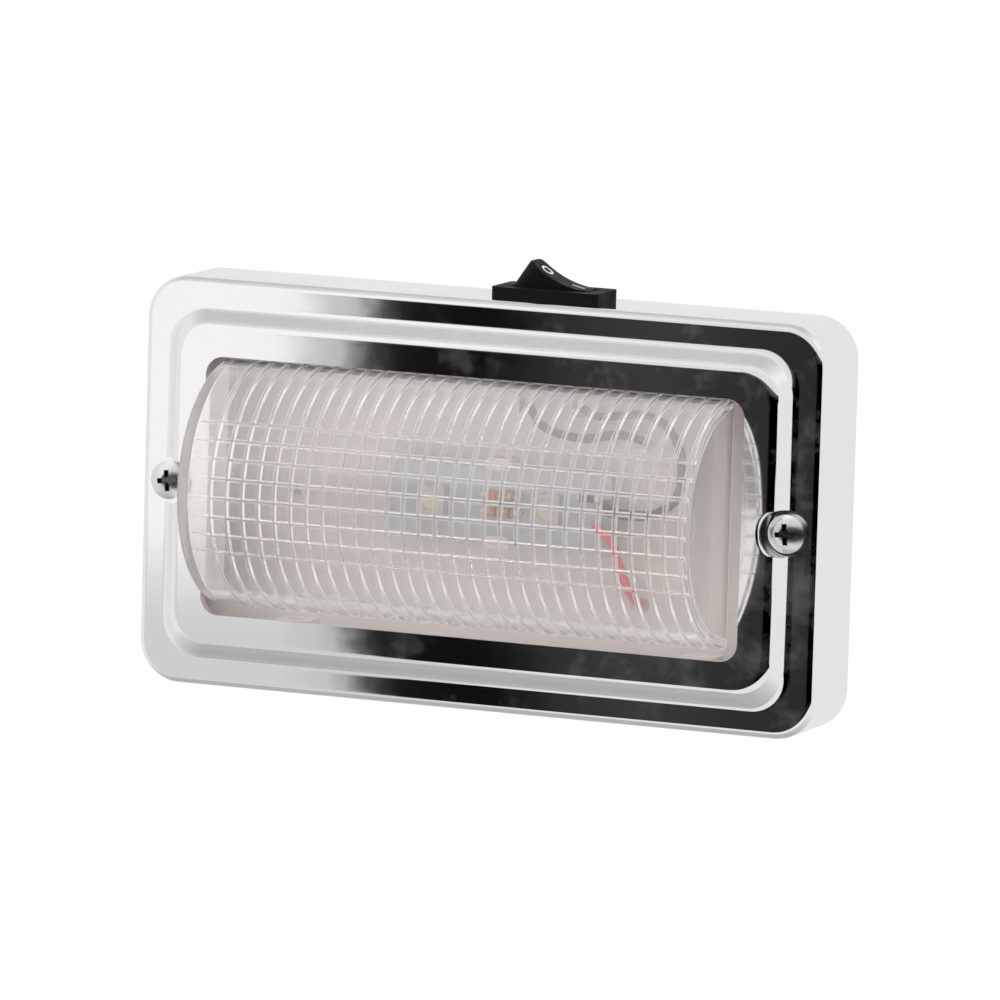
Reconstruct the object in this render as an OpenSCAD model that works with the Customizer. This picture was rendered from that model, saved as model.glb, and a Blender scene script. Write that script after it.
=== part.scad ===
// Car dome light: chrome bezel, clear ribbed lens, LED board and rocker switch.
// Origin at the centre of the back face. +X right, +Y out of the back, +Z up.

/* [Bezel] */
// Width of the bezel
body_w = 140; // [136:1:170]
// Height of the bezel
body_h = 79; // [78:1:95]
// Depth from the back face to the outer flange
wall_depth = 17.5; // [16.5:0.5:20]
// Wall thickness of the moulding
wall_t = 2; // [1.8:0.1:2.2]
// Outer corner radius
corner_r = 8.2; // [7.4:0.2:10]
// Rounding of the front outer edge
edge_r = 1.7; // [0.8:0.1:2]
// Flat flange, from the outer edge to the foot of the bevel
flange_w = 5.7; // [5:0.1:6]
// Width of the bevel
bevel_run = 2.8; // [2.2:0.1:3]
// Height of the plateau above the flange
plateau_rise = 3.5; // [3:0.1:4]
// Corner radius at the foot of the bevel
bevel_r = 7.4; // [6.5:0.1:9]
// Corner radius at the top of the bevel
plateau_r = 6.6; // [4:0.1:8]
// Rounding of the plateau edge
plateau_edge_r = 2.6; // [1.2:0.1:3]
// Rounding at the foot of the bevel
foot_r = 2; // [1:0.1:2.2]
// Distance from the foot of the bevel to the window
window_land = 8.8; // [8:0.1:10]
// Window corner radius
window_r = 3.6; // [2:0.2:5]

/* [Lens] */
// Gap between the dome and each long side of the window
dome_gap = 1.3; // [1.1:0.1:2.5]
// Gap between the dome and each short side of the window
dome_end_gap = 3; // [1:0.5:6]
// How far the dome sits above the window's centre
dome_lift = 0.9; // [0:0.1:0.9]
// Wall of the lens
lens_t = 1.9; // [1.5:0.1:2.2]
// Number of ribs round the dome
ring_count = 30; // [10:1:30]
// Distance from the left end of the dome to the first rib round it
ring_left = 7.2; // [3:0.2:9]
// Distance from the last rib round the dome to its right end
ring_right = 1.6; // [1.4:0.2:6]
// Number of ribs along the dome
bar_count = 8; // [4:1:10]
// Angle between ribs along the dome
bar_pitch = 9; // [6:0.5:9]
// Angle of the middle of the ribs along the dome
bar_middle = 3.6; // [-8:0.2:8]
// Rib width
rib_w = 1.0; // [0.7:0.1:1.3]
// Rib height
rib_h = 0.4; // [0.25:0.05:0.6]

/* [Mounting] */
// Distance from each screw to the end of the bezel
screw_inset = 6.2; // [5.8:0.1:6.6]
// Screw head radius
head_r = 3.7; // [3.3:0.1:3.9]
// Screw head height
head_h = 2.4; // [2:0.1:2.8]
// Screw shank radius
shank_r = 1.9; // [1.5:0.05:2]
// Screw length under its head
screw_len = 26; // [22:1:32]
// Base plate thickness
base_t = 2; // [1.6:0.1:2.4]
// Radius of the two lead outlets
outlet_r = 2; // [1.8:0.1:2.6]
// Place of the lead outlets, from the centre to the right
outlet_x = 28; // [27:0.5:29]
// Place of the supply lead's outlet, below the centre
supply_outlet_drop = 19.5; // [19:0.5:21]
// Place of the ground lead's outlet, above the centre
ground_outlet_rise = 13; // [12.5:0.5:14]

/* [Board] */
// Board length
board_w = 46.6; // [44:0.2:50]
// Board height
board_h = 14.4; // [13:0.2:16]
// Board thickness
board_t = 1.6; // [1.2:0.1:2]
// How far the board sits below the centre
board_drop = 0.8; // [0:0.1:2]
// Height of the board pillars
pillar_h = 2.4; // [2:0.1:3]
// Width of an LED
led_w = 5.6; // [4.5:0.1:6]
// Height of an LED
led_h = 6.2; // [4.5:0.1:6.4]

/* [Switch] */
// Length of the switch frame
frame_w = 21.9; // [21:0.1:23]
// Width of the switch frame
frame_d = 10.6; // [9.8:0.1:11]
// Thickness of the switch frame
frame_t = 2.2; // [2:0.1:2.4]
// Place of the switch, from the centre to the right
switch_x = 10.8; // [9:0.2:14]
// Place of the switch, in front of the back face
switch_depth = 8.1; // [7.6:0.1:8.4]
// Depth of the switch body below the wall
housing_depth = 14; // [13.6:0.1:15]
// Radius swept by the rocker about its pivot
rocker_r = 7.95; // [7.7:0.05:8.05]
// Width of the rocker
rocker_w = 5.6; // [5.4:0.1:6.4]
// Angle of the rocker to each side of its middle
rocker_tilt = 24; // [20:0.5:24]
// Angle of the contact bar to each side of its middle
bar_tilt = 8; // [6:0.5:8]
// Wire radius
wire_r = 0.9; // [0.7:0.05:1]

/* [Hidden] */
$fn = 64;
// Room that lets one drawn solid run past another it is cut from
over = 1;
// Side gap of pieces that drop into each other
fit = 0.2;
// Gap between seated faces
seat = 0.1;
// Gap of a running fit
run_fit = 0.05;
front = wall_depth + plateau_rise;

plateau_w = body_w - 2 * flange_w;
plateau_h = body_h - 2 * flange_w;
window_w = plateau_w - 2 * window_land;
window_h = plateau_h - 2 * window_land;
dome_r = window_h / 2 - dome_gap;
dome_len = window_w - 2 * dome_end_gap;
ring_pitch = (dome_len - ring_left - ring_right) / (ring_count - 1);
inner_w = body_w - 2 * wall_t;
inner_h = body_h - 2 * wall_t;
inner_r = corner_r - wall_t;
rounding_steps = 8;
corner_steps = 16;
bevel_slope = atan2(plateau_rise, bevel_run);
bevel_half_tan = tan(bevel_slope / 2);
bevel_reach = bevel_run + plateau_edge_r * bevel_half_tan;

// Pocket behind the plateau that holds the lens flange
pocket_margin = bevel_run + 1.5;
pocket_w = plateau_w - 2 * pocket_margin;
pocket_h = plateau_h - 2 * pocket_margin;
pocket_r = 3.2;
pocket_floor = front - wall_t;

// Screw pockets and bosses
screw_x = body_w / 2 - screw_inset;
screw_hole_r = shank_r + 0.3;
head_pocket_r = head_r + 0.7;
head_pocket_flare = 0.3;
head_pocket_edge_r = 0.7;
boss_r = screw_hole_r + 1.7;
boss_rib_t = 2;
head_pocket_wall_r = head_pocket_r + wall_t;

// Screw shank: slimmer inside the light, full at its free end
shank_relief = 0.4;
point_len = 3.8;
point_r = 0.3;

// Cross recess of a screw
recess_w = 1.1 * head_r;
recess_t = 1;
recess_depth = 1.3;

// Lens flange and dome
lens_flange_front = pocket_floor - run_fit;
lens_flange_back = lens_flange_front - lens_t;
dome_axis = lens_flange_back - 0.6;
dome_inner_r = dome_r - lens_t;
dome_edge_r = 0.8;
bar_start_gap = 3;
bar_end_gap = 0.6;
bar_start = -dome_len / 2 + bar_start_gap;
bar_end = dome_len / 2 - bar_end_gap;

// Catches that hold the base in the bezel
catch_inset = 33;
catch_x = inner_w / 2 - catch_inset;
catch_w = 10;
catch_out = 0.5;
catch_t = 0.8;
catch_z = 0.8;

// Base details
post_inset = 18;
post_x = pocket_w / 2 - post_inset;
post_w = 7;
post_t = 2.4;
post_y = pocket_h / 2 - fit - post_t / 2 - 0.2;
pillar_r = 2;
pillar_in = 3;
hook_w = 5;
hook_t = 1.4;
hook_lip = 0.7;
locating_hole_r = 1.2;
locating_hole_x = -44;
locating_hole_y = -2.4;

board_back = base_t + pillar_h;
board_front = board_back + board_t;

// Parts on the board
led_left_x = -13.5;
led_right_x = 10.3;
led_drop = 0.4;
led_t = 1.6;
led_cup_r = 2.1;
led_cup_depth = 0.4;
resistor_r = 1.15;
resistor_waist_r = 0.95;
resistor_end = 1.3;
resistor_len = 5.6;
resistor_x = 1;
resistor_gap = 3.1;
resistor_lead_r = 0.3;
resistor_lead_out = 1.3;
resistor_lift = 0.15;
diode_size = [2.7, 1.6, 1.1];
diode_inset = 4.9;
diode_x = board_w / 2 - diode_inset;
diode_up = 2.6;

// Switch, measured from the outside of the top wall
wall_top = body_h / 2;
frame_lip = 1.4;
frame_side_lip = 0.8;
frame_corner_r = 1;
housing_w = frame_w - 2 * frame_lip;
housing_d = frame_d - 2 * frame_side_lip;
housing_floor_t = 1.2;
chamber_w = 2 * (rocker_r + fit);
chamber_d = rocker_w + 2 * fit;
cutout_gap = 0.2;
snap_w = 4;
snap_out = 0.9;
snap_h = 3;
snap_land = 0.4;
pivot_z = frame_t - 1.2;
trunnion_r = 1.2;
trunnion_len = 0.8;
rocker_end_rise = 4.4;
rocker_dip = 1.2;
rocker_under = 1.6;
rocker_draft = 10;
rocker_corner_r = 2.2;
rocker_tip_r = 0.8;
rocker_span = rocker_r * sin(acos(rocker_end_rise / rocker_r));
dish_r = (rocker_span * rocker_span + rocker_dip * rocker_dip) / (2 * rocker_dip);
stem_r = 2.3;
stem_end = 5.2;
socket_r = 1.55;
socket_top = -0.2;

// Contact plunger and its spring, measured from the pivot along the stem
tip_r = 1;
tip_centre = 7.55;
plunger_head_r = socket_r - run_fit;
plunger_head_z = 3.4;
plunger_head_t = 1;
spring_wire_r = 0.17;
spring_coil_r = 1.1;
spring_turns = 5;

// Contact bar, with its fulcrum below the pivot
bar_t = 0.6;
bar_gap = run_fit;
fulcrum_r = 0.25;
fulcrum_drop = tip_centre + tip_r + bar_t + 2 * bar_gap + fulcrum_r;
fulcrum_z = pivot_z - fulcrum_drop;
tip_path_x = tip_centre * sin(rocker_tilt);
tip_path_z = fulcrum_drop - tip_centre * cos(rocker_tilt);
tip_side = tip_path_x * cos(bar_tilt) - tip_path_z * sin(bar_tilt);
tip_up = tip_path_x * sin(bar_tilt) + tip_path_z * cos(bar_tilt);
tip_low = fulcrum_drop - tip_centre;
tip_rise = tip_up - tip_low;
dip_path_r = (tip_side * tip_side + tip_rise * tip_rise) / (2 * tip_rise);
dip_r = dip_path_r + tip_r + bar_gap;
dip_centre = tip_low + dip_path_r;
dip_half = 3.6;
wing_out = 6.4;
wing_z = dip_centre - sqrt(dip_r * dip_r - dip_half * dip_half);
bar_d = 4.4;

// Terminals
blade_t = 0.8;
blade_d = 4.8;
blade_out = 8;
blade_end = -housing_depth - blade_out;
common_x = 5;
live_x = -6;
contact_top = fulcrum_z + (wing_z - bar_t) * cos(bar_tilt) + live_x * sin(bar_tilt) - 2 * bar_gap;
floor_top = -housing_depth + housing_floor_t;

// Wires
wire_sides = 8;
wire_steps = 2;
switch_y = -switch_depth;
blade_low = wall_top + blade_end;
board_face_y = -board_front;
board_end = board_w / 2 - 1.6;
wire_lift = wire_r + 0.12;
switched_route = [
  [switch_x + common_x + blade_t + wire_r, switch_y, blade_low + 2.2],
  [switch_x + common_x + 5, switch_y, blade_low + 0.6],
  [25.3, -7.4, 18.6],
  [29.5, -7, 19.3],
  [34, -7, 17.6],
  [37.2, -7, 13.4],
  [37.9, -7, 8],
  [37, -7.1, 3],
  [33, -7.2, 0],
  [28, -7.2, -0.9],
  [board_w / 2 + 0.4, -7.2, -0.4],
  [board_end, board_face_y - wire_lift, 1.4]
];
ground_route = [
  [switch_x + live_x + blade_t + wire_r, switch_y, blade_low + 2.4],
  [switch_x + live_x + 3.6, switch_y + 0.6, blade_low - 1.6],
  [12.5, -6.6, 13.8],
  [18.2, -6, 13.3],
  [23, -5, 14.4],
  [26.6, -4.6, 14.2],
  [outlet_x, -3.4, ground_outlet_rise + 0.5],
  [outlet_x, -0.3, ground_outlet_rise]
];
supply_route = [
  [board_end - 1.4, board_face_y - wire_lift, -board_drop - 2.6],
  [board_w / 2 + 0.8, -7.2, -6.3],
  [24.8, -5.4, -10.6],
  [26.6, -5, -15.2],
  [outlet_x, -3.8, -supply_outlet_drop + 0.9],
  [outlet_x, -0.3, -supply_outlet_drop]
];

// Turns a drawing made flat on the back face to the object's own axes
module upright() {
  rotate([90, 0, 0]) children();
}

// Places what belongs to the switch
module at_switch() {
  translate([switch_x, switch_y, wall_top]) children();
}

// Rectangle with true round corners
module rounded_rect(w, h, r) {
  square([w - 2 * r, h], center = true);
  square([w, h - 2 * r], center = true);
  for (sx = [-1, 1], sy = [-1, 1])
    translate([sx * (w / 2 - r), sy * (h / 2 - r)]) circle(r = r);
}

// Block with round corners whose rim follows a profile, drawn from the corner axis outwards
module rimmed_block(w, h, r, depth) {
  translate([-(w / 2 - r), -(h / 2 - r), 0]) cube([w - 2 * r, h - 2 * r, depth]);
  for (turn = [0, 180]) rotate([0, 0, turn]) {
    translate([w / 2 - r, 0, 0]) rotate([90, 0, 0])
      linear_extrude(height = h - 2 * r, center = true) children();
    translate([w / 2 - r, h / 2 - r, 0]) rotate_extrude(angle = 90) children();
  }
  for (turn = [90, 270]) rotate([0, 0, turn]) {
    translate([h / 2 - r, 0, 0]) rotate([90, 0, 0])
      linear_extrude(height = w - 2 * r, center = true) children();
    translate([h / 2 - r, w / 2 - r, 0]) rotate_extrude(angle = 90) children();
  }
}

// Rim of the shell: straight wall with a rounded front edge
module shell_profile() {
  polygon([[0, 0], [corner_r, 0], [corner_r, wall_depth - edge_r],
    [corner_r - edge_r, wall_depth - edge_r], [corner_r - edge_r, wall_depth], [0, wall_depth]]);
  translate([corner_r - edge_r, wall_depth - edge_r]) intersection() {
    circle(r = edge_r);
    square(2 * edge_r);
  }
}

// Points on an arc, from one compass-like angle (0 up, 90 outwards) to another
function arc(centre, r, from, to) = [for (i = [0:rounding_steps])
  let(a = from + (to - from) * i / rounding_steps) centre + r * [sin(a), cos(a)]];

// Faces of a closed skin over rings of n points each
function skin(rings, n) = concat(
  [[for (k = [0:n - 1]) k]],
  [for (i = [0:rings - 2], k = [0:n - 1])
    [i * n + k, (i + 1) * n + k, (i + 1) * n + (k + 1) % n, i * n + (k + 1) % n]],
  [[for (k = [n - 1:-1:0]) (rings - 1) * n + k]]);

// Outline of the plateau at one height, grown outwards from the foot of the bevel
function plateau_level(out, z) =
  let(r = bevel_r + (bevel_r - plateau_r) * out / bevel_reach,
    w = plateau_w / 2 + out - r, h = plateau_h / 2 + out - r)
  [for (q = [0:3], i = [0:corner_steps]) let(a = 90 * (q + i / corner_steps))
    [(q == 0 || q == 3 ? w : -w) + r * cos(a), (q < 2 ? h : -h) + r * sin(a), z]];

// Plateau whose bevel flares into the flange and rounds over into the flat top
module plateau() {
  foot = arc([foot_r * bevel_half_tan, foot_r], foot_r, 180, 180 + bevel_slope);
  edge = arc([-bevel_reach, plateau_rise - plateau_edge_r], plateau_edge_r, bevel_slope, 0);
  rim = concat([[foot[0][0], -over]], foot, edge);
  polyhedron(points = [for (p = rim, q = plateau_level(p[0], p[1])) q],
    faces = skin(len(rim), 4 * (corner_steps + 1)), convexity = 4);
}

// Hollow of the shell, round its screw bosses
module shell_hollow() {
  difference() {
    rounded_rect(inner_w, inner_h, inner_r);
    for (side = [-1, 1]) translate([side * screw_x, 0]) {
      circle(r = boss_r);
      translate([side > 0 ? 0 : -body_w, -boss_rib_t / 2]) square([body_w, boss_rib_t]);
    }
  }
}

// Half section of the recess round a screw head, its mouth rounded over
module head_pocket_profile() {
  wall = head_pocket_r + head_pocket_flare;
  edge = arc([wall + head_pocket_edge_r, plateau_rise - head_pocket_edge_r], head_pocket_edge_r, -90, 0);
  last = edge[rounding_steps];
  polygon(concat([[0, 0], [head_pocket_r, 0]], edge, [[last[0], last[1] + over], [0, last[1] + over]]));
}

module bezel() {
  color([0.86, 0.87, 0.88]) upright() difference() {
    union() {
      rimmed_block(body_w, body_h, corner_r, wall_depth) shell_profile();
      translate([0, 0, wall_depth]) plateau();
    }
    translate([0, 0, -over]) linear_extrude(height = base_t + over)
      rounded_rect(inner_w, inner_h, inner_r);
    translate([0, 0, base_t]) linear_extrude(height = wall_depth - wall_t - base_t) shell_hollow();
    translate([0, 0, wall_depth - wall_t]) linear_extrude(height = plateau_rise) difference() {
      rounded_rect(pocket_w, pocket_h, pocket_r);
      for (side = [-1, 1]) translate([side * screw_x, 0]) circle(r = head_pocket_wall_r);
    }
    translate([0, 0, pocket_floor - over]) linear_extrude(height = wall_t + 2 * over)
      rounded_rect(window_w, window_h, window_r);
    for (side = [-1, 1]) translate([side * screw_x, 0, 0]) {
      translate([0, 0, -over]) cylinder(r = screw_hole_r, h = wall_depth + 2 * over);
      translate([0, 0, wall_depth]) rotate_extrude() head_pocket_profile();
    }
    for (sx = [-1, 1], sy = [-1, 1])
      translate([sx * catch_x - catch_w / 2 - fit, sy * inner_h / 2 - catch_out - fit, catch_z - fit])
        cube([catch_w + 2 * fit, 2 * (catch_out + fit), catch_t + 2 * fit]);
    translate([switch_x, inner_h / 2, switch_depth])
      cube([housing_w + 2 * cutout_gap, 2 * wall_t + over, housing_d + 2 * cutout_gap], center = true);
  }
}

// One rib across the drawing plane of the dome
function ring_points(at) = [[dome_r, at - rib_w / 2], [dome_r + rib_h, at - rib_w / 4],
  [dome_r + rib_h, at + rib_w / 4], [dome_r, at + rib_w / 2]];

// Half section of the dome, ribs included
module dome_section() {
  half = dome_len / 2;
  rings = [for (i = [0:ring_count - 1], p = ring_points(ring_left - half + i * ring_pitch)) p];
  polygon(concat([[0, -half], [dome_r - dome_edge_r, -half],
    [dome_r - dome_edge_r, -half + dome_edge_r], [dome_r, -half + dome_edge_r]], rings,
    [[dome_r, half - dome_edge_r / 2], [dome_r - dome_edge_r / 2, half], [0, half]]));
  translate([dome_r - dome_edge_r, -half + dome_edge_r]) intersection() {
    circle(r = dome_edge_r);
    translate([0, -2 * dome_edge_r]) square(2 * dome_edge_r);
  }
}

module lens() {
  first_bar = bar_middle - (bar_count - 1) * bar_pitch / 2;
  color([0.9, 0.94, 0.96, 0.5]) upright() translate([0, dome_lift, 0]) difference() {
    union() {
      translate([0, -dome_lift, lens_flange_back]) linear_extrude(height = lens_t) difference() {
        rounded_rect(pocket_w - 2 * fit, pocket_h - 2 * fit, pocket_r - fit);
        for (side = [-1, 1]) translate([side * screw_x, 0]) circle(r = head_pocket_wall_r + fit);
      }
      translate([0, 0, dome_axis]) rotate([90, 0, 0]) rotate([0, 90, 0])
        rotate_extrude(angle = 180, $fn = 96) dome_section();
      for (i = [0:bar_count - 1]) translate([bar_start, 0, dome_axis])
        rotate([-(first_bar + i * bar_pitch), 0, 0]) rotate([90, 0, 90])
          linear_extrude(height = bar_end - bar_start)
            polygon([[-rib_w / 2, dome_r - 0.4], [rib_w / 2, dome_r - 0.4],
              [rib_w / 4, dome_r + rib_h], [-rib_w / 4, dome_r + rib_h]]);
    }
    translate([0, 0, dome_axis]) rotate([0, 90, 0])
      cylinder(r = dome_inner_r, h = dome_len - 2 * lens_t, center = true, $fn = 96);
    translate([0, 0, dome_axis - over]) cube([dome_len + over, 3 * dome_r,
      2 * (lens_flange_back - dome_axis + over)], center = true);
  }
}

// Hook that holds one long edge of the board, drawn at its root
module board_hook() {
  reach = board_front + run_fit;
  translate([-hook_w / 2, fit, 0]) cube([hook_w, hook_t, reach + hook_lip]);
  translate([-hook_w / 2, -hook_lip, reach]) cube([hook_w, hook_lip + 2 * fit, hook_lip]);
}

module base() {
  color([0.85, 0.81, 0.78]) upright() difference() {
    union() {
      linear_extrude(height = base_t - seat)
        rounded_rect(inner_w - 2 * fit, inner_h - 2 * fit, inner_r - fit);
      for (sx = [-1, 1], sy = [-1, 1]) {
        translate([sx * catch_x, sy * (inner_h / 2 - fit), catch_z + catch_t / 2])
          cube([catch_w, 2 * catch_out, catch_t], center = true);
        translate([sx * post_x - post_w / 2, sy * post_y - post_t / 2, 0])
          cube([post_w, post_t, lens_flange_back - seat]);
        translate([sx * (board_w / 2 - pillar_in), sy * (board_h / 2 - pillar_in) - board_drop, 0])
          cylinder(r = pillar_r, h = board_back);
      }
      translate([0, -board_drop, 0]) for (turn = [0, 180]) rotate([0, 0, turn])
        translate([0, board_h / 2, 0]) board_hook();
    }
    for (side = [-1, 1]) translate([side * screw_x, 0, -over]) cylinder(r = screw_hole_r, h = 3 * over + base_t);
    for (y = [ground_outlet_rise, -supply_outlet_drop])
      translate([outlet_x, y, -over]) cylinder(r = outlet_r, h = base_t + 2 * over);
    translate([locating_hole_x, locating_hole_y, -over]) cylinder(r = locating_hole_r, h = base_t + 2 * over);
  }
}

module light_board() {
  color([0.93, 0.93, 0.9]) upright() translate([-board_w / 2, -board_h / 2 - board_drop, board_back])
    cube([board_w, board_h, board_t]);
}

// LED package with the round cup that holds its phosphor
module led(x) {
  color([0.95, 0.94, 0.88]) upright() translate([x, -board_drop - led_drop, board_front]) difference() {
    translate([-led_w / 2, -led_h / 2, 0]) cube([led_w, led_h, led_t]);
    translate([0, 0, led_t - led_cup_depth]) cylinder(r = led_cup_r, h = led_cup_depth + over);
  }
}

module led_left() {
  led(led_left_x);
}

module led_right() {
  led(led_right_x);
}

// Half section of a resistor body, thicker at its ends
module resistor_side() {
  half = resistor_len / 2;
  waist = half - resistor_end;
  points = [[resistor_r * 0.7, half], [resistor_r, half - 0.2], [resistor_r, waist + 0.2],
    [resistor_waist_r, waist]];
  polygon(concat([[0, half]], points, [for (i = [3:-1:0]) [points[i][0], -points[i][1]]], [[0, -half]]));
}

// Resistor lying on the board with its leads bent down to it
module resistor(up) {
  axis_z = resistor_r + resistor_lift;
  reach = resistor_len / 2 + resistor_lead_out;
  color([0.78, 0.68, 0.52]) upright() translate([resistor_x, up - board_drop, board_front]) {
    translate([0, 0, axis_z]) rotate([0, 90, 0]) rotate_extrude() resistor_side();
    translate([0, 0, axis_z]) rotate([0, 90, 0]) cylinder(r = resistor_lead_r, h = 2 * reach, center = true);
    for (side = [-1, 1]) translate([side * (reach - resistor_lead_r), 0, 0])
      cylinder(r = resistor_lead_r, h = axis_z);
  }
}

module resistor_upper() {
  resistor(resistor_gap / 2);
}

module resistor_lower() {
  resistor(-resistor_gap / 2);
}

module polarity_diode() {
  color([0.12, 0.12, 0.13]) upright() translate([diode_x, diode_up - board_drop, board_front])
    translate([0, 0, diode_size[2] / 2]) cube(diode_size, center = true);
}

// Pan-head screw with a cross recess, its head on the flange
module screw(side) {
  dome_h = head_h * 0.45;
  ball_r = (head_r * head_r + dome_h * dome_h) / (2 * dome_h);
  color([0.75, 0.76, 0.77]) upright() translate([side * screw_x, 0, wall_depth]) difference() {
    union() {
      cylinder(r = head_r, h = head_h - dome_h);
      intersection() {
        cylinder(r = head_r, h = head_h + over);
        translate([0, 0, head_h - ball_r]) sphere(r = ball_r, $fn = 128);
      }
      translate([0, 0, -wall_depth]) cylinder(r = shank_r - shank_relief, h = wall_depth + run_fit);
      translate([0, 0, -screw_len + point_len]) cylinder(r = shank_r, h = screw_len - point_len - wall_depth);
      translate([0, 0, -screw_len]) cylinder(r1 = point_r, r2 = shank_r, h = point_len);
    }
    for (turn = [5, 95]) rotate([0, 0, turn])
      translate([0, 0, head_h]) cube([recess_w, recess_t, 2 * recess_depth], center = true);
    translate([0, 0, head_h - recess_depth]) cylinder(r1 = recess_t / 2, r2 = recess_w / 3, h = recess_depth);
  }
}

module screw_left() {
  screw(-1);
}

module screw_right() {
  screw(1);
}

// Sloped catch on one end of the switch body
module switch_snap() {
  translate([housing_w / 2 - over, snap_w / 2, 0]) rotate([90, 0, 0]) linear_extrude(height = snap_w)
    polygon([[0, -wall_t - seat], [over + snap_out, -wall_t - seat],
      [over + snap_out, -wall_t - seat - snap_land], [over, -wall_t - snap_h], [0, -wall_t - snap_h]]);
}

module switch_housing() {
  color([0.07, 0.07, 0.08]) at_switch() difference() {
    union() {
      linear_extrude(height = frame_t) rounded_rect(frame_w, frame_d, frame_corner_r);
      translate([-housing_w / 2, -housing_d / 2, -housing_depth])
        cube([housing_w, housing_d, housing_depth + frame_t / 2]);
      for (turn = [0, 180]) rotate([0, 0, turn]) switch_snap();
    }
    translate([-chamber_w / 2, -chamber_d / 2, floor_top]) cube([chamber_w, chamber_d, housing_depth * 2]);
    translate([0, 0, pivot_z]) rotate([90, 0, 0])
      cylinder(r = trunnion_r + run_fit, h = rocker_w + 2 * (trunnion_len + fit), center = true);
    for (x = [live_x, common_x])
      translate([x - run_fit, -blade_d / 2 - run_fit, -housing_depth - over])
        cube([blade_t + 2 * run_fit, blade_d + 2 * run_fit, housing_floor_t + 2 * over]);
  }
}

// Side view of the rocker about its pivot: sloped ends, rounded tips and a dished top
module rocker_side() {
  foot = rocker_span + (rocker_end_rise + rocker_under) * tan(rocker_draft);
  dish_slope = asin(rocker_span / dish_r);
  normals = [cos(rocker_draft) - sin(dish_slope), sin(rocker_draft) + cos(dish_slope)];
  inward = rocker_tip_r * normals / (1 + sin(rocker_draft - dish_slope));
  tip = arc([rocker_span, rocker_end_rise] - inward, rocker_tip_r, 90 - rocker_draft, -dish_slope);
  right = concat([[foot, -rocker_under]], tip, [[tip[rounding_steps][0], rocker_end_rise]]);
  left = [for (i = [len(right) - 1:-1:0]) [-right[i][0], right[i][1]]];
  difference() {
    polygon(concat(right, left));
    translate([0, rocker_end_rise - rocker_dip + dish_r]) circle(r = dish_r, $fn = 256);
  }
}

// Block whose far end lies on the rocker's sloped end, with round upright edges
module rocker_end_block() {
  reach = rocker_span * cos(rocker_draft) + rocker_end_rise * sin(rocker_draft);
  length = 3 * rocker_r;
  rotate([0, -rocker_draft, 0]) translate([reach - length / 2, 0, -2 * rocker_r])
    linear_extrude(height = 4 * rocker_r) rounded_rect(length, rocker_w, rocker_corner_r);
}

// Turns what the rocker carries to its place with the right side pressed in
module on_rocker() {
  at_switch() translate([0, 0, pivot_z]) rotate([0, rocker_tilt, 0]) children();
}

module rocker() {
  color([0.09, 0.09, 0.1]) on_rocker() difference() {
    union() {
      intersection() {
        rotate([90, 0, 0]) linear_extrude(height = rocker_w + over, center = true) rocker_side();
        rocker_end_block();
        mirror([1, 0, 0]) rocker_end_block();
      }
      rotate([90, 0, 0]) cylinder(r = trunnion_r, h = rocker_w + 2 * trunnion_len, center = true);
      translate([0, 0, -stem_end]) cylinder(r = stem_r, h = stem_end - rocker_under + over);
    }
    translate([0, 0, -stem_end - over]) cylinder(r = socket_r, h = stem_end + over + socket_top);
  }
}

module contact_plunger() {
  color([0.8, 0.66, 0.35]) on_rocker() {
    translate([0, 0, -plunger_head_z - plunger_head_t]) cylinder(r = plunger_head_r, h = plunger_head_t);
    translate([0, 0, -tip_centre]) cylinder(r = tip_r, h = tip_centre - plunger_head_z - plunger_head_t / 2);
    translate([0, 0, -tip_centre]) sphere(r = tip_r);
  }
}

// Tube swept along a list of points, with its rings square to the path
function unit(v) = v / norm(v);
function path_dir(p, i) = unit(p[min(i + 1, len(p) - 1)] - p[max(i - 1, 0)]);
function ring_at(p, i, r, n) =
  let(t = path_dir(p, i), a = unit(cross(t, [1, 0.9, 1.1])), b = cross(t, a))
  [for (k = [0:n - 1]) p[i] + r * (cos(360 * k / n) * a + sin(360 * k / n) * b)];
module tube(p, r, n) {
  polyhedron(points = [for (i = [0:len(p) - 1], q = ring_at(p, i, r, n)) q], faces = skin(len(p), n),
    convexity = 8);
}

// Extra points on a smooth curve through the chosen ones
function through(p, i, f) =
  let(a = p[max(i - 1, 0)], b = p[i], c = p[i + 1], d = p[min(i + 2, len(p) - 1)])
  0.5 * (2 * b + (c - a) * f + (2 * a - 5 * b + 4 * c - d) * f * f + (3 * b - 3 * c + d - a) * f * f * f);
function smooth(p) = concat(
  [for (i = [0:len(p) - 2], s = [0:wire_steps - 1]) through(p, i, s / wire_steps)],
  [p[len(p) - 1]]);

module plunger_spring() {
  steps = 12;
  top = socket_top - spring_wire_r - run_fit;
  low = -plunger_head_z + spring_wire_r + run_fit;
  color([0.7, 0.71, 0.72]) on_rocker() tube([for (i = [0:spring_turns * steps])
    [spring_coil_r * cos(i * 360 / steps), spring_coil_r * sin(i * 360 / steps),
      low + (top - low) * i / (spring_turns * steps)]], spring_wire_r, 6);
}

// Side view of the contact bar about its fulcrum: a strip with a round dip
module bar_side() {
  difference() {
    union() {
      translate([-wing_out, wing_z - bar_t]) square([2 * wing_out, bar_t]);
      intersection() {
        translate([0, dip_centre]) circle(r = dip_r + bar_t);
        translate([-wing_out, -over]) square([2 * wing_out, wing_z - bar_t / 2 + over]);
      }
    }
    translate([0, dip_centre]) circle(r = dip_r);
  }
}

module contact_bar() {
  color([0.83, 0.6, 0.35]) at_switch() translate([0, 0, fulcrum_z]) rotate([0, -bar_tilt, 0])
    rotate([90, 0, 0]) linear_extrude(height = bar_d, center = true) bar_side();
}

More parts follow.
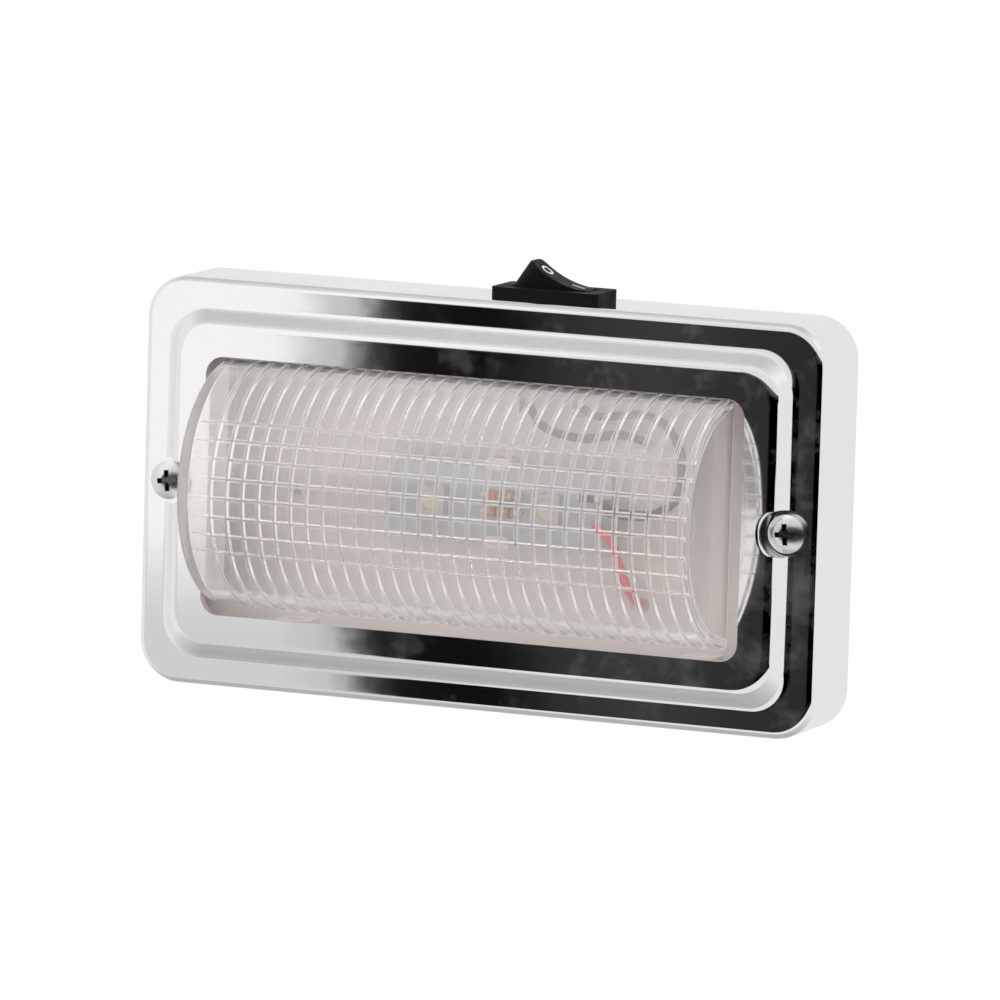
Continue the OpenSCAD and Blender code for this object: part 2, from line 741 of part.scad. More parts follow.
// Blade with a foot along the floor and an upright whose round edge carries the bar
module common_terminal() {
  neck = 0.8 * fulcrum_r;
  root = blade_t * 0.75;
  low = floor_top + run_fit;
  color([0.78, 0.74, 0.6]) at_switch() rotate([90, 0, 0]) {
    translate([0, fulcrum_z, 0]) cylinder(r = fulcrum_r, h = blade_d - over / 2, center = true);
    linear_extrude(height = blade_d, center = true)
      polygon([[-neck, fulcrum_z], [neck, fulcrum_z], [neck, fulcrum_z - 2 * fulcrum_r],
        [root, fulcrum_z - blade_t], [root, low + blade_t],
        [common_x + blade_t, low + blade_t], [common_x + blade_t, blade_end], [common_x, blade_end],
        [common_x, low], [-root, low], [-root, fulcrum_z - blade_t], [-neck, fulcrum_z - 2 * fulcrum_r]]);
  }
}

module live_terminal() {
  color([0.78, 0.74, 0.6]) at_switch() rotate([90, 0, 0]) linear_extrude(height = blade_d, center = true)
    polygon([[live_x, blade_end], [live_x + blade_t, blade_end], [live_x + blade_t, contact_top],
      [live_x - blade_t / 2, contact_top], [live_x - blade_t / 2, contact_top - blade_t],
      [live_x, contact_top - blade_t]]);
}

module switched_wire() {
  color([0.1, 0.1, 0.11]) tube(smooth(switched_route), wire_r, wire_sides);
}

module ground_wire() {
  color([0.14, 0.13, 0.13]) tube(smooth(ground_route), wire_r, wire_sides);
}

module supply_wire() {
  color([0.7, 0.08, 0.07]) tube(smooth(supply_route), wire_r, wire_sides);
}

bezel();
lens();
base();
light_board();
led_left();
led_right();
resistor_upper();
resistor_lower();
polarity_diode();
screw_left();
screw_right();
switch_housing();
rocker();
contact_plunger();
plunger_spring();
contact_bar();
common_terminal();
live_terminal();
switched_wire();
ground_wire();
supply_wire();
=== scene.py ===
import math

import bmesh
import bpy
from mathutils import Matrix, Vector


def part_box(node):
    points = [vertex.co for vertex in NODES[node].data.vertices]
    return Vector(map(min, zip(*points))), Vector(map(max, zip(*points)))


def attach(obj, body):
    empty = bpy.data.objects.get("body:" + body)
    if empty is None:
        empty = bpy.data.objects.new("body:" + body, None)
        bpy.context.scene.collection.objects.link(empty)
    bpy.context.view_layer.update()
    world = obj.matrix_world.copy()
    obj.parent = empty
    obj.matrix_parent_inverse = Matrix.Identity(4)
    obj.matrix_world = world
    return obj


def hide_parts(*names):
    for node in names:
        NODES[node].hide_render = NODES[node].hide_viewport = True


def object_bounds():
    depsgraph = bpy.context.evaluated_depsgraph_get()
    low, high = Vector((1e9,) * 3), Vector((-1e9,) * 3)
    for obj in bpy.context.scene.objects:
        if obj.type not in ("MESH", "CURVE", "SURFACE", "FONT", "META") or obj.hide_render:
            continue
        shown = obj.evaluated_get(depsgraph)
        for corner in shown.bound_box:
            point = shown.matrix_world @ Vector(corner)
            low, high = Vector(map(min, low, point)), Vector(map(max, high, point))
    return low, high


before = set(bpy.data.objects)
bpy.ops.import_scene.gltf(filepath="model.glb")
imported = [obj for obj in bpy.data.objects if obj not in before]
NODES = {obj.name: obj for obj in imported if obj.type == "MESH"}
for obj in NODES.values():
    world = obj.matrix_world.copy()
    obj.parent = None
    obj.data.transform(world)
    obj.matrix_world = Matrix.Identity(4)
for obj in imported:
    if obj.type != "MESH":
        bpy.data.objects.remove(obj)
bounds_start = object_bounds()
MM = 0.001

# Camera, fitted to the outlines of the photographed object; angles in degrees
CAMERA_AZIMUTH = 22.7
CAMERA_ELEVATION = 7.88
CAMERA_ROLL = 1.71
CAMERA_DISTANCE = 2102 * MM
CAMERA_AIM = Vector((-2.06, -1.0, -0.91)) * MM
SENSOR_WIDTH = 36
FOCAL_IN_WIDTHS = 10.97


# Places taken from the solid model, in millimetres
def corners(node):
    """Lowest and highest corner of a node's box."""
    low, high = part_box(node)
    return low / MM, high / MM


def middle(node):
    """Middle of a node's box."""
    low, high = corners(node)
    return (low + high) / 2


BOARD_FRONT = -corners("light_board")[0].y
BOARD_RIGHT = corners("light_board")[1].x
BOARD_UP = middle("light_board").z
RESISTOR_X = middle("resistor_upper").x
SWITCH = Vector((middle("switch_housing").x, middle("switch_housing").y, corners("bezel")[1].z))

# Rocker: pivot above the top wall, tilt at rest in degrees, and its dished top
PIVOT_RISE = 1.0
ROCKER_TILT = 24.0
DISH_SPAN = 6.62
DISH_TOP = 3.2
DISH_DEPTH = 1.2

# Marks printed on the rocker: a ring for off, a bar for on
PRINT_LIFT = 0.015
RING_X = -3.17
RING_INNER_R = 0.86
RING_OUTER_R = 1.28
BAR_START = 2.55
BAR_LENGTH = 2.5
BAR_HALF_WIDTH = 0.21

# Phosphor in an LED's cup, and the solder at its pins
PHOSPHOR_SINK = 0.38
PHOSPHOR_R = 2.05
PHOSPHOR_RISE = 0.2
LED_PIN_PITCH = 1.8
LED_PIN_REACH = 3.2
LED_JOINT_R = 0.55
LED_JOINT_RISE = 0.35

# Solder at the resistors' ends and at the leads
RESISTOR_JOINT_X = 3.5
RESISTOR_JOINT_R = 0.75
RESISTOR_JOINT_RISE = 0.5
LEAD_JOINT_R = 0.8
LEAD_JOINT_RISE = 0.35
SWITCHED_JOINT_INSET = 1.6
SWITCHED_JOINT_UP = 2.2
SUPPLY_JOINT_INSET = 3.0
SUPPLY_JOINT_UP = -2.6
DIODE_JOINT_X = 1.5

# Screws: thread on the free end, and the cross recess in the head, which gets painted shade
SCREW_X = 63.8
SHANK_R = 1.9
SCREW_FACE = 17.5
SCREW_LENGTH = 26.0
POINT_LENGTH = 3.8
THREAD_START = 0.3
THREAD_PITCH = 1.3
THREAD_TURNS = 3
THREAD_SIDES = 24
THREAD_RISE = 0.16
THREAD_ROOT = 0.05
THREAD_HALF_WIDTH = 0.28
RECESS_R = 2.1
RECESS_TOP = 19.3
RECESS_SHADE = 0.16

# Resistors along X from the middle: painted span, ends of the body and width of a band
PAINT_REACH = 4.0
BODY_REACH = 2.8
BAND_WIDTH = 0.6

# Facets of the plating that meet at less than this angle (degrees) shade as one surface
SKIN_ANGLE = 25
SKIN_WELD = 0.001 * MM
SKIN_WEIGHT = 100

# Milkiness of the lens plastic at each of its faces, and how round its moulded edges look
HAZE = 0.12
HAZE_COLOR = (1.0, 0.96, 0.94)
EDGE_FROST = 0.8
EDGE_LENS = 0.3 * MM
EDGE_SWITCH = 0.3 * MM

# Cosine between a face and its rounded edge where frost starts, and where it is full
FROST_RANGE = (0.99, 0.8)

# Height of the fine grain of all materials and of the plating's ripple
GRAIN_HEIGHT = 0.05 * MM
RIPPLE_HEIGHT = 0.5 * MM

# How far the gloss varies, and the part of the noise that it follows
GLOSS_SPREAD = 0.2
GLOSS_RANGE = (0.3, 0.7)

# Most that dust hides of the plating, and the part of the noise that shows as dust
SMUDGE = 0.1
SMUDGE_RANGE = (0.52, 0.72)

# Strength of the surroundings for matt surfaces, in reflections, and as a white background
SOFT_LIGHT = 0.65
REFLECTED_LIGHT = 0.82
WHITE = 1.0
FLOOR_COLOR = (0.55, 0.55, 0.55)
FLOOR_ROUGH = 0.9
FLOOR_HALF = 3.0

# Reflected streaks: how tight the noise is along each axis, per metre, and its middle value
STREAK_STRETCH = (40, 40, 420)
NOISE_MIDDLE = 0.5


# Shader building blocks: each takes plain values or outputs and gives an output
def feed(tree, value, socket):
    """Links an output to the socket, or sets a plain value on it."""
    if isinstance(value, bpy.types.NodeSocket):
        tree.links.new(value, socket)
    else:
        socket.default_value = value


def add(tree, kind, inputs=None, **settings):
    """A new node; inputs holds plain values or outputs by socket name or number."""
    node = tree.nodes.new(kind)
    for key, value in settings.items():
        setattr(node, key, value)
    for key, value in (inputs or {}).items():
        feed(tree, value, node.inputs[key])
    return node


def own_coords(tree):
    return add(tree, "ShaderNodeTexCoord").outputs["Object"]


def along(tree, place, axis):
    return add(tree, "ShaderNodeSeparateXYZ", {0: place}).outputs[axis]


def noise(tree, place, scale, detail=2, rough=0.5):
    inputs = {"Vector": place, "Scale": scale, "Detail": detail, "Roughness": rough}
    return add(tree, "ShaderNodeTexNoise", inputs).outputs["Fac"]


def calc(tree, operation, first, second):
    return add(tree, "ShaderNodeMath", {0: first, 1: second}, operation=operation).outputs[0]


def vector_calc(tree, operation, *terms):
    """Vector arithmetic on one or two terms."""
    node = add(tree, "ShaderNodeVectorMath", dict(enumerate(terms)), operation=operation)
    return node.outputs["Value" if operation in ("LENGTH", "DOT_PRODUCT") else "Vector"]


def ranged(tree, value, old, new=(0, 1)):
    """The value with its range old brought to the range new, and held within it."""
    limits = dict(zip(("From Min", "From Max", "To Min", "To Max"), (*old, *new)))
    return add(tree, "ShaderNodeMapRange", {"Value": value, **limits}).outputs["Result"]


def mixed(tree, share, first, second):
    """Two surfaces blended; share is the part of the second."""
    return add(tree, "ShaderNodeMixShader", {0: share, 1: first, 2: second}).outputs[0]


def diffuse(tree, color):
    return add(tree, "ShaderNodeBsdfDiffuse", {"Color": (*color, 1)}).outputs[0]


def rounded_edges(tree, radius, samples):
    """Normals that round off the edges in the shading alone."""
    return add(tree, "ShaderNodeBevel", {"Radius": radius}, samples=samples).outputs["Normal"]


def relief(tree, place, scale, strength, height, under=None):
    """Normals that follow fine noise, on top of the normals under."""
    inputs = {"Height": noise(tree, place, scale), "Strength": strength, "Distance": height}
    if under is not None:
        inputs["Normal"] = under
    return add(tree, "ShaderNodeBump", inputs).outputs["Normal"]


def uneven(tree, place, scale, rough):
    """Roughness that varies in patches."""
    spread = (rough * (1 - GLOSS_SPREAD), rough * (1 + GLOSS_SPREAD))
    return ranged(tree, noise(tree, place, scale, detail=4), GLOSS_RANGE, spread)


def seen_directly(tree):
    """One for rays that reach the camera straight or through the lens, or else zero."""
    path = add(tree, "ShaderNodeLightPath").outputs
    return calc(tree, "MAXIMUM", path["Is Camera Ray"], path["Is Transmission Ray"])


# Materials
def new_material(name, values):
    """A material, its nodes and its shader, with values on the shader's inputs."""
    mat = bpy.data.materials.new(name)
    mat.use_nodes = True
    tree = mat.node_tree
    shader = tree.nodes["Principled BSDF"]
    for key, value in values.items():
        feed(tree, value, shader.inputs[key])
    return mat, tree, shader


def set_surface(tree, surface):
    feed(tree, surface, tree.nodes["Material Output"].inputs["Surface"])


def worked(name, color, rough, metal=0, specular=0.5, grain=600, depth=0.1, patches=300, edge=0):
    """One colour with fine grain and an uneven gloss, and rounded edges if edge is a radius."""
    values = {"Base Color": (*color, 1), "Metallic": metal, "Specular IOR Level": specular}
    mat, tree, shader = new_material(name, values)
    place = own_coords(tree)
    under = rounded_edges(tree, edge, samples=4) if edge else None
    feed(tree, relief(tree, place, grain, depth, GRAIN_HEIGHT, under), shader.inputs["Normal"])
    feed(tree, uneven(tree, place, patches, rough), shader.inputs["Roughness"])
    return mat


def moulded(name, color, rough, specular=0.5, edge=0):
    """Plastic with the grain of its mould."""
    return worked(name, color, rough, specular=specular, grain=900, depth=0.15, patches=400, edge=edge)


def metal(name, color, rough):
    return worked(name, color, rough, metal=1)


def chrome():
    """Plating with a slight ripple and dusty smudges."""
    values = {"Base Color": (0.93, 0.93, 0.94, 1), "Metallic": 1, "Roughness": 0.06}
    mat, tree, shader = new_material("chrome", values)
    place = own_coords(tree)
    ripple = relief(tree, place, scale=90, strength=0.05, height=RIPPLE_HEIGHT)
    feed(tree, ripple, shader.inputs["Normal"])
    clouds = noise(tree, place, scale=70, detail=8, rough=0.72)
    dust = ranged(tree, clouds, SMUDGE_RANGE, (0, SMUDGE))
    set_surface(tree, mixed(tree, dust, shader.outputs[0], diffuse(tree, (0.88, 0.88, 0.9))))
    return mat


def clear_plastic():
    """Clear lens plastic, frosted along its moulded edges, that lets light in past it."""
    values = {"Base Color": (1.0, 0.99, 0.985, 1), "Transmission Weight": 1, "Roughness": 0.03, "IOR": 1.49}
    mat, tree, shader = new_material("clear_plastic", values)
    edges = rounded_edges(tree, EDGE_LENS, samples=8)
    feed(tree, edges, shader.inputs["Normal"])
    face = add(tree, "ShaderNodeNewGeometry").outputs["Normal"]
    frost = ranged(tree, vector_calc(tree, "DOT_PRODUCT", edges, face), FROST_RANGE, (HAZE, EDGE_FROST))
    milky = mixed(tree, frost, shader.outputs[0], diffuse(tree, HAZE_COLOR))
    shadow = add(tree, "ShaderNodeLightPath").outputs["Is Shadow Ray"]
    pass_on = add(tree, "ShaderNodeBsdfTransparent", {"Color": (0.98, 0.975, 0.97, 1)}).outputs[0]
    set_surface(tree, mixed(tree, shadow, milky, pass_on))
    return mat


def banded(name, body, bands):
    """Resistor: colour bands (start in millimetres, colour) along X, and steel beyond the body."""
    mat, tree, shader = new_material(name, {"Roughness": 0.35})
    steel = (0.62, 0.61, 0.6)
    stops = [(-PAINT_REACH, steel), (-BODY_REACH, body)]
    for start, color in bands:
        stops += [(start, color), (start + BAND_WIDTH, body)]
    stops.append((BODY_REACH, steel))
    span = ((RESISTOR_X - PAINT_REACH) * MM, (RESISTOR_X + PAINT_REACH) * MM)
    ramp = add(tree, "ShaderNodeValToRGB", {"Fac": ranged(tree, along(tree, own_coords(tree), "X"), span)})
    ramp.color_ramp.interpolation = "CONSTANT"
    elements = ramp.color_ramp.elements
    while len(elements) < len(stops):
        elements.new(0.5)
    for element, (x, color) in zip(elements, stops):
        element.position = (x + PAINT_REACH) / (2 * PAINT_REACH)
        element.color = (*color, 1)
    feed(tree, ramp.outputs["Color"], shader.inputs["Base Color"])
    return mat


def screw_metal(name, color):
    """Zinc-plated steel with painted shade near its axis behind the head's top: in the cross recess, and
    also on the shank.
    """
    mat = worked(name, color, 0.24, metal=1, grain=500)
    tree = mat.node_tree
    place = own_coords(tree)
    from_axis = vector_calc(tree, "SUBTRACT", vector_calc(tree, "ABSOLUTE", place), (SCREW_X * MM, 0, 0))
    radius = vector_calc(tree, "LENGTH", vector_calc(tree, "MULTIPLY", from_axis, (1, 0, 1)))
    # Painted shade: darker colour within RECESS_R of the screw's axis and behind the head's top, meant for
    # the cross recess
    near = calc(tree, "LESS_THAN", radius, RECESS_R * MM)
    deep = calc(tree, "GREATER_THAN", along(tree, place, "Y"), -RECESS_TOP * MM)
    dark = tuple(channel * RECESS_SHADE for channel in color)
    inputs = {"Factor": calc(tree, "MULTIPLY", near, deep), "A": (*color, 1), "B": (*dark, 1)}
    recess_shaded_color = add(tree, "ShaderNodeMix", inputs, data_type="RGBA").outputs["Result"]
    feed(tree, recess_shaded_color, tree.nodes["Principled BSDF"].inputs["Base Color"])
    return mat


CHROME = chrome()
CLEAR = clear_plastic()
BEIGE = moulded("beige_plastic", (0.645, 0.58, 0.55), 0.5)
BLACK = moulded("black_plastic", (0.006, 0.006, 0.006), 0.55, 0.07, EDGE_SWITCH)
ROCKER = moulded("rocker_plastic", (0.006, 0.006, 0.007), 0.45, 0.08, EDGE_SWITCH)
BOARD = worked("board_white", (0.35, 0.39, 0.41), 0.4)
LED_BODY = worked("led_body", (0.46, 0.41, 0.41), 0.35)
PHOSPHOR = worked("phosphor", (0.56, 0.49, 0.36), 0.3)
SOLDER = metal("solder", (0.72, 0.72, 0.73), 0.22)
STEEL = screw_metal("screw_steel", (0.82, 0.82, 0.81))
SPRING = metal("spring_steel", (0.6, 0.6, 0.61), 0.25)
BRASS = metal("brass", (0.74, 0.55, 0.26), 0.28)
BRONZE = metal("bronze", (0.68, 0.42, 0.24), 0.3)
TIN = metal("tin_plate", (0.66, 0.64, 0.58), 0.3)
PRINT = worked("white_print", (0.8, 0.8, 0.79), 0.5)
WIRE_DARK = worked("wire_dark", (0.03, 0.03, 0.032), 0.4)
WIRE_RED = worked("wire_red", (0.78, 0.01, 0.02), 0.38)
DIODE = worked("diode_black", (0.02, 0.02, 0.022), 0.35)
TAN = (0.36, 0.19, 0.08)
RED = (0.55, 0.01, 0.01)
BROWN = (0.16, 0.05, 0.02)
ORANGE = (0.7, 0.14, 0.02)
GOLD = (0.45, 0.3, 0.07)
RESISTOR_UP = banded("resistor_upper", TAN, [(-2.3, RED), (-1.1, RED), (0.1, BROWN), (1.8, GOLD)])
RESISTOR_LOW = banded("resistor_lower", TAN, [(-2.3, ORANGE), (-1.1, BROWN), (0.1, RED), (1.8, BROWN)])

LOOKS = {
    "bezel": CHROME, "lens": CLEAR, "base": BEIGE, "light_board": BOARD,
    "led_left": LED_BODY, "led_right": LED_BODY,
    "resistor_upper": RESISTOR_UP, "resistor_lower": RESISTOR_LOW,
    "polarity_diode": DIODE, "screw_left": STEEL, "screw_right": STEEL,
    "switch_housing": BLACK, "rocker": ROCKER, "contact_plunger": BRASS,
    "plunger_spring": SPRING, "contact_bar": BRONZE,
    "common_terminal": TIN, "live_terminal": TIN,
    "switched_wire": WIRE_DARK, "ground_wire": WIRE_DARK, "supply_wire": WIRE_RED,
}
for node_name, look in LOOKS.items():
    NODES[node_name].data.materials.clear()
    NODES[node_name].data.materials.append(look)


# Pieces on the object
def new_object(name, mesh):
    obj = bpy.data.objects.new(name, mesh)
    bpy.context.scene.collection.objects.link(obj)
    return obj


def piece(name, verts, faces, material, body="light", smooth=False):
    """A small piece of the object, given in millimetres in the row frame."""
    mesh = bpy.data.meshes.new(name)
    mesh.from_pydata([tuple(Vector(v) * MM) for v in verts], [], faces)
    mesh.materials.append(material)
    mesh.update()
    for face in mesh.polygons:
        face.use_smooth = smooth
    obj = new_object(name, mesh)
    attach(obj, body)
    return obj


def plated_skin():
    """The bezel with its shading smoothed over fine facets and kept flat on flat faces."""
    mesh = NODES["bezel"].data.copy()
    obj = new_object("bezel_skin", mesh)
    shell = bmesh.new()
    shell.from_mesh(mesh)
    bmesh.ops.remove_doubles(shell, verts=shell.verts, dist=SKIN_WELD)
    for edge in shell.edges:
        edge.smooth = edge.is_manifold and edge.calc_face_angle(0) < math.radians(SKIN_ANGLE)
    for face in shell.faces:
        face.smooth = True
    shell.to_mesh(mesh)
    shell.free()
    if "custom_normal" in mesh.attributes:
        mesh.attributes.remove(mesh.attributes["custom_normal"])
    even = obj.modifiers.new("even", "WEIGHTED_NORMAL")
    even.keep_sharp = True
    even.weight = SKIN_WEIGHT
    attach(obj, "light")
    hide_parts("bezel")


def on_back(x, up, out):
    """A point given across, up and out from the back face."""
    return Vector((x, -out, up))


def dome(name, x, up, out, r, rise, material, sides=16, rings=4):
    """Low dome with its flat side on the plane that is out from the back face."""
    verts = []
    for j in range(rings):
        level = math.pi / 2 * j / rings
        ring_r, ring_out = r * math.cos(level), out + rise * math.sin(level)
        for i in range(sides):
            turn = 2 * math.pi * i / sides
            verts.append(on_back(x + ring_r * math.cos(turn), up + ring_r * math.sin(turn), ring_out))
    verts.append(on_back(x, up, out + rise))
    faces = []
    for i in range(sides):
        k = (i + 1) % sides
        for low in range(0, (rings - 1) * sides, sides):
            faces.append((low + i, low + sides + i, low + sides + k, low + k))
        faces.append(((rings - 1) * sides + i, rings * sides, (rings - 1) * sides + k))
    return piece(name, verts, faces, material, smooth=True)


def dish_point(x, y, lift):
    """A point on the rocker's dished top; x along the rocker, y across it."""
    radius = (DISH_SPAN ** 2 + DISH_DEPTH ** 2) / (2 * DISH_DEPTH)
    z = DISH_TOP + radius - math.sqrt(radius ** 2 - x ** 2) + lift
    turn = Matrix.Rotation(math.radians(ROCKER_TILT), 3, "Y")
    return SWITCH + Vector((0, 0, PIVOT_RISE)) + turn @ Vector((x, y, z))


def rocker_mark(name, rim, steps):
    """A printed mark: rim(share, side) gives plan points on its two edges."""
    sides = (0, 1)
    verts = [dish_point(*rim(i / steps, side), PRINT_LIFT) for i in range(steps + 1) for side in sides]
    faces = [(2 * i, 2 * i + 1, 2 * i + 3, 2 * i + 2) for i in range(steps)]
    return piece(name, verts, faces, PRINT, "switch_rocker")


def off_ring(share, side):
    turn = 2 * math.pi * share
    r = RING_OUTER_R if side else RING_INNER_R
    return RING_X + r * math.cos(turn), r * math.sin(turn)


def on_bar(share, side):
    return BAR_START + BAR_LENGTH * share, BAR_HALF_WIDTH if side else -BAR_HALF_WIDTH


def led_fill(name, led):
    """Phosphor in the LED's cup and three solder joints at each side."""
    x, up = middle(led).x, middle(led).z
    cup = -corners(led)[0].y - PHOSPHOR_SINK
    dome(name, x, up, cup, PHOSPHOR_R, PHOSPHOR_RISE, PHOSPHOR, 32)
    for side, label in ((-1, "low"), (1, "high")):
        for pin in range(3):
            pin_x, pin_up = x + (pin - 1) * LED_PIN_PITCH, up + side * LED_PIN_REACH
            joint = f"{name}_{label}_{pin}"
            dome(joint, pin_x, pin_up, BOARD_FRONT, LED_JOINT_R, LED_JOINT_RISE, SOLDER, 12, 3)


def board_joint(name, x, up, r, rise):
    dome(name, x, up, BOARD_FRONT, r, rise, SOLDER)


def resistor_joints(label):
    up = middle(f"resistor_{label}").z
    for side, end in ((-1, "left"), (1, "right")):
        x = RESISTOR_X + side * RESISTOR_JOINT_X
        board_joint(f"solder_{label}_{end}", x, up, RESISTOR_JOINT_R, RESISTOR_JOINT_RISE)


def lead_joints():
    """Solder where the leads and the diode meet the board."""
    diode = middle("polarity_diode")
    places = {
        "switched": (BOARD_RIGHT - SWITCHED_JOINT_INSET, BOARD_UP + SWITCHED_JOINT_UP),
        "supply": (BOARD_RIGHT - SUPPLY_JOINT_INSET, BOARD_UP + SUPPLY_JOINT_UP),
        "diode_a": (diode.x - DIODE_JOINT_X, diode.z),
        "diode_b": (diode.x + DIODE_JOINT_X, diode.z),
    }
    for label, (x, up) in places.items():
        board_joint(f"joint_{label}", x, up, LEAD_JOINT_R, LEAD_JOINT_RISE)


def thread(name, side):
    """Rolled thread round the free end of a screw."""
    start = SCREW_FACE - SCREW_LENGTH + POINT_LENGTH + THREAD_START
    root = SHANK_R - THREAD_ROOT
    profile = ((root, -THREAD_HALF_WIDTH), (SHANK_R + THREAD_RISE, 0), (root, THREAD_HALF_WIDTH))
    verts, faces = [], []
    for i in range(THREAD_TURNS * THREAD_SIDES + 1):
        turn = 2 * math.pi * i / THREAD_SIDES
        out = start + THREAD_PITCH * i / THREAD_SIDES
        for r, shift in profile:
            verts.append(on_back(side * SCREW_X + r * math.cos(turn), r * math.sin(turn), out + shift))
    for i in range(THREAD_TURNS * THREAD_SIDES):
        for p in (3 * i, 3 * i + 1):
            faces.append((p, p + 1, p + 4, p + 3))
    return piece(name, verts, faces, STEEL)


plated_skin()
rocker_mark("mark_off", off_ring, steps=48)
rocker_mark("mark_on", on_bar, steps=12)
led_fill("phosphor_left", "led_left")
led_fill("phosphor_right", "led_right")
resistor_joints("upper")
resistor_joints("lower")
lead_joints()
thread("thread_left", side=-1)
thread("thread_right", side=1)


# Surroundings
def glow_along(tree, place, axis, stops):
    """Strength that follows stops (place in millimetres, strength) along one axis."""
    first, last = stops[0][0], stops[-1][0]
    share = ranged(tree, along(tree, place, axis), (first * MM, last * MM))
    ramp = add(tree, "ShaderNodeValToRGB", {"Fac": share})
    elements = ramp.color_ramp.elements
    elements[0].color = (*[stops[0][1]] * 3, 1)
    elements[1].color = (*[stops[-1][1]] * 3, 1)
    for at, strength in stops[1:-1]:
        elements.new((at - first) / (last - first)).color = (strength, strength, strength, 1)
    return ramp.outputs["Color"]


def streaked(tree, place, most):
    """The place shifted along X, in bands, by up to half of most (millimetres) to each side."""
    bands = noise(tree, vector_calc(tree, "MULTIPLY", place, STREAK_STRETCH), scale=1, detail=3)
    shift = calc(tree, "MULTIPLY", calc(tree, "SUBTRACT", bands, NOISE_MIDDLE), most * MM)
    sideways = add(tree, "ShaderNodeCombineXYZ", {"X": shift}).outputs["Vector"]
    return vector_calc(tree, "ADD", place, sideways)


def glow_material(name, ramps, solid, streaks):
    """Glow from the brightest of the ramps (axis, stops); the ramp solid makes part see-through."""
    mat = bpy.data.materials.new(name)
    mat.use_nodes = True
    tree = mat.node_tree
    tree.nodes.remove(tree.nodes["Principled BSDF"])
    place = own_coords(tree)
    if streaks:
        place = streaked(tree, place, streaks)
    strength = glow_along(tree, place, *ramps[0])
    for ramp in ramps[1:]:
        strength = calc(tree, "MAXIMUM", strength, glow_along(tree, place, *ramp))
    white = {"Color": (1, 1, 1, 1), "Strength": strength}
    surface = add(tree, "ShaderNodeEmission", white).outputs[0]
    if solid:
        clear = add(tree, "ShaderNodeBsdfTransparent").outputs[0]
        surface = mixed(tree, glow_along(tree, place, *solid), clear, surface)
    set_surface(tree, surface)
    return mat


def sheet(name, centre, across, up, material):
    """One flat face about its centre, from two half sides; it isn't part of the object."""
    mesh = bpy.data.meshes.new(name)
    places = [centre + x * across + y * up for x, y in ((-1, -1), (1, -1), (1, 1), (-1, 1))]
    mesh.from_pydata(places, [], [(0, 1, 2, 3)])
    mesh.materials.append(material)
    obj = new_object(name, mesh)
    return obj


def card(name, centre, size, ramps, up=(0, 0, 1), solid=None, streaks=0):
    """A flat glowing card, in millimetres, seen in the plating but not by the camera.

    Each ramp is an axis and its stops, and the brightest counts at each point."""
    across = Vector((size[0] / 2 * MM, 0, 0))
    rise = Vector(up) * size[1] / 2 * MM
    obj = sheet(name, Vector(centre) * MM, across, rise, glow_material(name, ramps, solid, streaks))
    obj.visible_camera = False
    obj.visible_transmission = False
    obj.visible_diffuse = False
    obj.visible_shadow = False
    return obj


def front_cards():
    """Bright wall at the left, dark room at the right with a bright ceiling above it."""
    wall = [(-76, 0.66), (-58, 0.96)]
    room = [
        (-190, 0.6), (-157, 0.6), (-153.5, 0.004), (-122, 0.004), (-104, 0.033),
        (-85, 0.045), (-65, 0.028), (-10, 0.02), (50, 0), (600, 0),
    ]
    above = [(40, 0), (110, 0.1)]
    edge = [(-172, 0), (-167, 1)]
    high = [(-210, 1.0), (-140, 0.76)]
    card("card_left", (-315, -324, 0), (310, 900), [("Z", wall)])
    ramps = [("X", room), ("Z", above)]
    dark = card("card_dark", (205, -322, -40), (790, 300), ramps, solid=("X", edge), streaks=24)
    dark.visible_transmission = True
    card("card_high", (0, -400, 265), (1400, 320), [("X", high)])


def level_cards():
    """Ceiling and table, brighter towards their ends."""
    level = (0, 1, 0)
    over = [(-650, 0.8), (-250, 0.57), (100, 0.57), (400, 0.9)]
    front = [(-390, 0.9), (-100, 0.57)]
    under = [(-650, 0.75), (-250, 0.46), (60, 0.46), (600, 0.82)]
    card("card_top", (0, -40, 420), (1400, 700), [("X", over), ("Y", front)], level)
    card("card_below", (0, 60, -420), (1400, 700), [("X", under)], level)


def shade_card():
    """Painted shade: a dim glowing sheet behind the openings in the base, seen only through the lens."""
    even = [(-60, 0.2), (60, 0.2)]
    shade_sheet = card("card_painted_shade", (0, 14, 0), (120, 62), [("X", even)])
    shade_sheet.visible_glossy = False
    shade_sheet.visible_transmission = True


def white_floor():
    """Plain floor under the object, white to the camera and pale to the light."""
    values = {"Base Color": (*FLOOR_COLOR, 1), "Roughness": FLOOR_ROUGH}
    mat, tree, shader = new_material("floor", values)
    white = add(tree, "ShaderNodeEmission", {"Color": (1, 1, 1, 1), "Strength": WHITE}).outputs[0]
    set_surface(tree, mixed(tree, seen_directly(tree), shader.outputs[0], white))
    low = Vector((0, 0, bounds_start[0].z))
    floor = sheet("floor", low, Vector((FLOOR_HALF, 0, 0)), Vector((0, FLOOR_HALF, 0)), mat)
    floor.visible_glossy = False


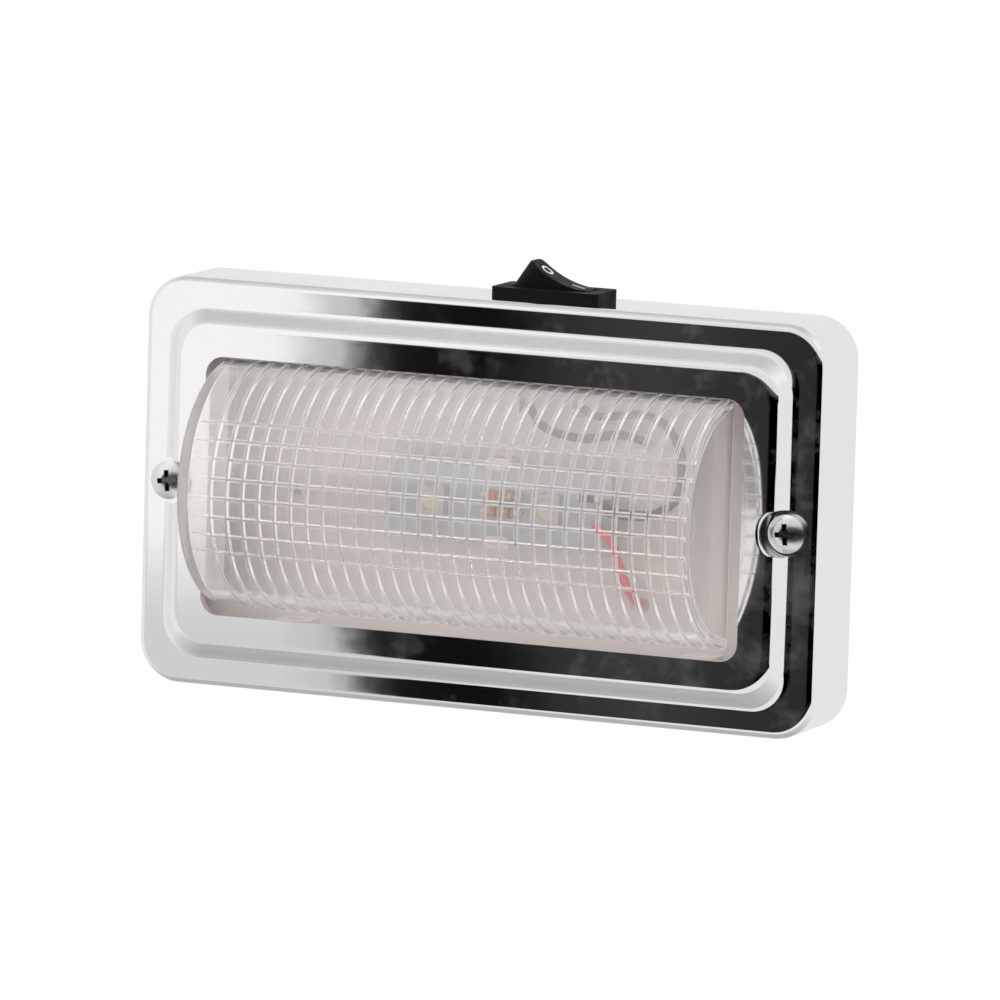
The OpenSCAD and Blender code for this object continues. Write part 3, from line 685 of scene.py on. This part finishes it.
def studio_world():
    """Even soft surroundings, a little brighter in reflections, and a white background."""
    world = bpy.data.worlds.new("studio")
    bpy.context.scene.world = world
    world.use_nodes = True
    tree = world.node_tree
    soft = tree.nodes["Background"]
    soft.inputs["Color"].default_value = (1, 1, 1, 1)
    soft.inputs["Strength"].default_value = SOFT_LIGHT
    reflected, white = [
        add(tree, "ShaderNodeBackground", {"Color": (1, 1, 1, 1), "Strength": strength}).outputs[0]
        for strength in (REFLECTED_LIGHT, WHITE)]
    glossy = add(tree, "ShaderNodeLightPath").outputs["Is Glossy Ray"]
    light = mixed(tree, glossy, soft.outputs[0], reflected)
    background = mixed(tree, seen_directly(tree), light, white)
    feed(tree, background, tree.nodes["World Output"].inputs["Surface"])


def area_light(name, place, size, power):
    """A soft lamp aimed at the object's middle."""
    data = bpy.data.lights.new(name, "AREA")
    data.shape = "RECTANGLE"
    data.size = size[0] * MM
    data.size_y = size[1] * MM
    data.energy = power
    lamp = new_object(name, data)
    lamp.location = Vector(place) * MM
    lamp.rotation_euler = (-lamp.location).to_track_quat("-Z", "Y").to_euler()
    lamp.visible_transmission = False
    return lamp


def place_camera():
    data = bpy.data.cameras.new("camera")
    data.sensor_width = SENSOR_WIDTH
    data.lens = SENSOR_WIDTH * FOCAL_IN_WIDTHS
    data.clip_start = 0.1
    data.clip_end = 20
    azimuth, elevation = math.radians(CAMERA_AZIMUTH), math.radians(CAMERA_ELEVATION)
    flat = math.cos(elevation)
    towards = Vector((math.sin(azimuth) * flat, -math.cos(azimuth) * flat, math.sin(elevation)))
    level = (-towards).to_track_quat("-Z", "Y").to_matrix()
    roll = Matrix.Rotation(math.radians(CAMERA_ROLL), 3, "Z")
    camera = new_object("camera", data)
    camera.location = CAMERA_AIM + towards * CAMERA_DISTANCE
    camera.rotation_euler = (level @ roll).to_euler()
    bpy.context.scene.camera = camera


front_cards()
level_cards()
shade_card()
white_floor()
studio_world()
area_light("softbox_top", (-200, -230, 720), (500, 300), power=3.9)
side_lamp = area_light("softbox_right", (680, -160, 60), (400, 400), power=2.4)
side_lamp.visible_glossy = False
place_camera()
bpy.context.scene.view_settings.view_transform = "Standard"
